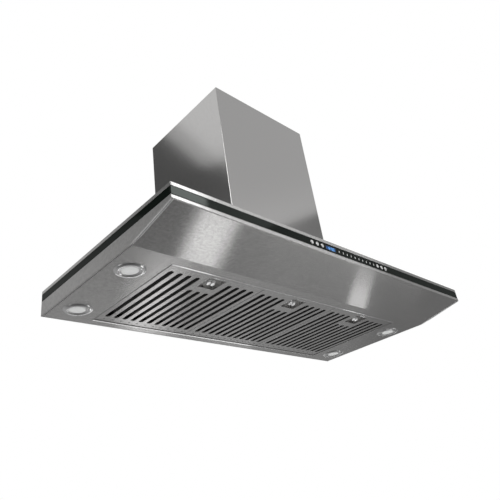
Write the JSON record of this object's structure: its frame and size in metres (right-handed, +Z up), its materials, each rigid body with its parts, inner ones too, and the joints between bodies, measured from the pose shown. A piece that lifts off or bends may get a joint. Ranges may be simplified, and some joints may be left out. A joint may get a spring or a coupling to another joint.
{
  "type": "range hood",
  "caption": "Wall-chimney range hood: slanted front, black glass control band, baffle filters, downlights, blower with flap outlet, telescopic duct cover.",
  "frame": {"origin": "centre of the rectangle of wall screw holes, on the wall plane at the back of the mounting plate", "axes": "+X along the width, to the right seen from the front; +Y into the wall; +Z up"},
  "size_m": [0.9, 0.4506, 0.5617],
  "materials": {
    "brushed_steel": "stainless steel with fine straight brushing",
    "inner_steel": "plain stainless and zinc-coated sheet",
    "black_glass": "black back-printed tempered glass, polished",
    "display": "lit blue display",
    "light_guide": "clear white light guides",
    "black_plastic": "moulded black plastic",
    "circuit_board": "green solder mask",
    "chrome": "polished chrome",
    "frosted_lens": "frosted light cover",
    "lamp_aluminium": "satin aluminium",
    "filter_steel": "brushed stainless baffle filter",
    "spring_steel": "bright steel wire and fasteners",
    "impeller_plastic": "dark moulded impeller",
    "motor_black": "black painted motor can"
  },
  "bodies": {
    "hood": {"top_panel": "brushed_steel", "lower_shell": "brushed_steel", "side_panel_left": "brushed_steel", "side_panel_right": "brushed_steel", "duct_cover_lower": "brushed_steel", "rear_panel": "inner_steel", "opening_frame": "inner_steel", "mounting_plate": "inner_steel", "upper_bracket": "inner_steel", "blower_box": "inner_steel", "scroll_housing": "inner_steel", "motor_bracket": "inner_steel", "outlet_collar": "inner_steel", "glass_front": "black_glass", "glass_left": "black_glass", "glass_right": "black_glass", "display": "display", "level_lights": "light_guide", "control_housing": "black_plastic", "terminal_box": "black_plastic", "cable_gland": "black_plastic", "control_board": "circuit_board", "lamp_front_left_bezel": "chrome", "lamp_front_left_lens": "frosted_lens", "lamp_front_left_body": "lamp_aluminium", "lamp_front_right_bezel": "chrome", "lamp_front_right_lens": "frosted_lens", "lamp_front_right_body": "lamp_aluminium", "lamp_rear_left_bezel": "chrome", "lamp_rear_left_lens": "frosted_lens", "lamp_rear_left_body": "lamp_aluminium", "lamp_rear_right_bezel": "chrome", "lamp_rear_right_lens": "frosted_lens", "lamp_rear_right_body": "lamp_aluminium", "flap_pin": "spring_steel", "screws": "spring_steel", "motor": "motor_black"},
    "filter_left": {"filter_left_tray": "filter_steel", "filter_left_baffles": "filter_steel", "filter_left_latch_spring": "spring_steel"},
    "latch_left": {"filter_left_latch": "chrome"},
    "filter_middle": {"filter_middle_tray": "filter_steel", "filter_middle_baffles": "filter_steel", "filter_middle_latch_spring": "spring_steel"},
    "latch_middle": {"filter_middle_latch": "chrome"},
    "filter_right": {"filter_right_tray": "filter_steel", "filter_right_baffles": "filter_steel", "filter_right_latch_spring": "spring_steel"},
    "latch_right": {"filter_right_latch": "chrome"},
    "impeller": {"impeller": "impeller_plastic", "motor_shaft": "spring_steel"},
    "damper_front": {"damper_flap_front": "lamp_aluminium"},
    "damper_rear": {"damper_flap_rear": "lamp_aluminium"},
    "button_1": {"button_1": "chrome"},
    "button_2": {"button_2": "chrome"},
    "button_3": {"button_3": "chrome"},
    "button_4": {"button_4": "chrome"},
    "button_5": {"button_5": "chrome"},
    "button_6": {"button_6": "chrome"},
    "duct_cover_upper": {"duct_cover_upper": "brushed_steel"}
  },
  "joints": [
    {"name": "filter_left_drop", "type": "hinge", "parent": "hood", "child": "filter_left", "pos_m": [-0.2328, -0.0265, -0.1536], "axis": [1, 0, 0], "range_deg": [0, 80]},
    {"name": "latch_left_slide", "type": "slide", "parent": "filter_left", "child": "latch_left", "axis": [0, 1, 0], "range_m": [0, 0.008], "stiffness_N_per_m": 300, "springref_m": -0.004, "deforming": ["filter_left_latch_spring"]},
    {"name": "filter_middle_drop", "type": "hinge", "parent": "hood", "child": "filter_middle", "pos_m": [0, -0.0265, -0.1536], "axis": [1, 0, 0], "range_deg": [0, 80]},
    {"name": "latch_middle_slide", "type": "slide", "parent": "filter_middle", "child": "latch_middle", "axis": [0, 1, 0], "range_m": [0, 0.008], "stiffness_N_per_m": 300, "springref_m": -0.004, "deforming": ["filter_middle_latch_spring"]},
    {"name": "filter_right_drop", "type": "hinge", "parent": "hood", "child": "filter_right", "pos_m": [0.2328, -0.0265, -0.1536], "axis": [1, 0, 0], "range_deg": [0, 80]},
    {"name": "latch_right_slide", "type": "slide", "parent": "filter_right", "child": "latch_right", "axis": [0, 1, 0], "range_m": [0, 0.008], "stiffness_N_per_m": 300, "springref_m": -0.004, "deforming": ["filter_right_latch_spring"]},
    {"name": "impeller_spin", "type": "hinge", "parent": "hood", "child": "impeller", "pos_m": [0, -0.179, -0.01], "axis": [1, 0, 0], "continuous": true},
    {"name": "damper_front_swing", "type": "hinge", "parent": "hood", "child": "damper_front", "pos_m": [0, -0.138, 0.112], "axis": [-1, 0, 0], "range_deg": [0, 75]},
    {"name": "damper_rear_swing", "type": "hinge", "parent": "hood", "child": "damper_rear", "pos_m": [0, -0.138, 0.112], "axis": [1, 0, 0], "range_deg": [0, 75]},
    {"name": "button_1_press", "type": "slide", "parent": "hood", "child": "button_1", "axis": [0, 1, 0], "range_m": [0, 0.0012], "stiffness_N_per_m": 400},
    {"name": "button_2_press", "type": "slide", "parent": "hood", "child": "button_2", "axis": [0, 1, 0], "range_m": [0, 0.0012], "stiffness_N_per_m": 400},
    {"name": "button_3_press", "type": "slide", "parent": "hood", "child": "button_3", "axis": [0, 1, 0], "range_m": [0, 0.0012], "stiffness_N_per_m": 400},
    {"name": "button_4_press", "type": "slide", "parent": "hood", "child": "button_4", "axis": [0, 1, 0], "range_m": [0, 0.0012], "stiffness_N_per_m": 400},
    {"name": "button_5_press", "type": "slide", "parent": "hood", "child": "button_5", "axis": [0, 1, 0], "range_m": [0, 0.0012], "stiffness_N_per_m": 400},
    {"name": "button_6_press", "type": "slide", "parent": "hood", "child": "button_6", "axis": [0, 1, 0], "range_m": [0, 0.0012], "stiffness_N_per_m": 400},
    {"name": "duct_cover_extend", "type": "slide", "parent": "hood", "child": "duct_cover_upper", "axis": [0, 0, 1], "range_m": [0, 0.26]}
  ]
}
